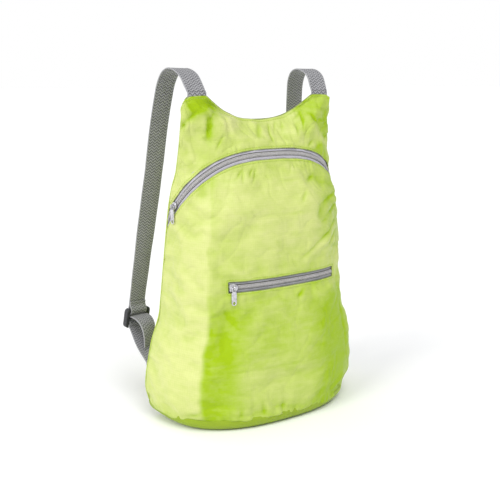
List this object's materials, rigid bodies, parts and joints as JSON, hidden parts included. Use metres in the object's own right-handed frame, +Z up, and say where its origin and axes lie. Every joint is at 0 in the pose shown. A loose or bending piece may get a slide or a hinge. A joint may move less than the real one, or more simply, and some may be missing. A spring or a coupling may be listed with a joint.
{
  "type": "packable backpack",
  "caption": "Light packable backpack with an arched main zip, a front pocket zip, and webbing shoulder straps on ladder-lock buckles.",
  "frame": {"origin": "on the surface it stands on, under the middle of the flat base", "axes": "+Z up the bag, -Y out of the front with the zips, +X to the right of a viewer who faces the front"},
  "size_m": [0.278, 0.1883, 0.4245],
  "materials": {
    "shell_fabric": "light lime ripstop nylon with a fine grid and a soft sheen",
    "base_fabric": "deeper lime ripstop nylon",
    "main_zip_tape": "pale lilac grey woven zip tape",
    "pocket_zip_tape": "mid grey woven zip tape",
    "zip_coil": "grey nylon coil",
    "zip_metal": "satin nickel plate",
    "webbing": "grey herringbone webbing with a paler selvedge",
    "buckle_plastic": "dark grey moulded acetal"
  },
  "bodies": {
    "bag": {"back_panel": "shell_fabric", "front_panel": "shell_fabric", "yoke_panel": "shell_fabric", "base_panel": "base_fabric", "main_zip_tape_upper": "main_zip_tape", "main_zip_tape_lower": "main_zip_tape", "main_zip_coil": "zip_coil", "main_zip_slider": "zip_metal", "pocket_zip_tape_upper": "pocket_zip_tape", "pocket_zip_tape_lower": "pocket_zip_tape", "pocket_zip_coil": "zip_coil", "pocket_zip_slider": "zip_metal", "shoulder_strap_left": "webbing", "shoulder_strap_right": "webbing", "adjuster_buckle_left": "buckle_plastic", "adjuster_buckle_right": "buckle_plastic", "lower_strap_left": "webbing", "lower_strap_right": "webbing"},
    "main_pull": {"main_zip_pull": "zip_metal"},
    "pocket_pull": {"pocket_zip_pull": "zip_metal"}
  },
  "joints": [
    {"name": "main_pull_hinge", "type": "hinge", "parent": "bag", "child": "main_pull", "pos_m": [-0.11747, 0.01658, 0.26738], "axis": [-0.1235, 0.9923, 0], "range_deg": [0, 160]},
    {"name": "pocket_pull_hinge", "type": "hinge", "parent": "bag", "child": "pocket_pull", "pos_m": [-0.07282, -0.04543, 0.1763], "axis": [-0.9425, 0.3342, 0], "range_deg": [0, 160]}
  ]
}
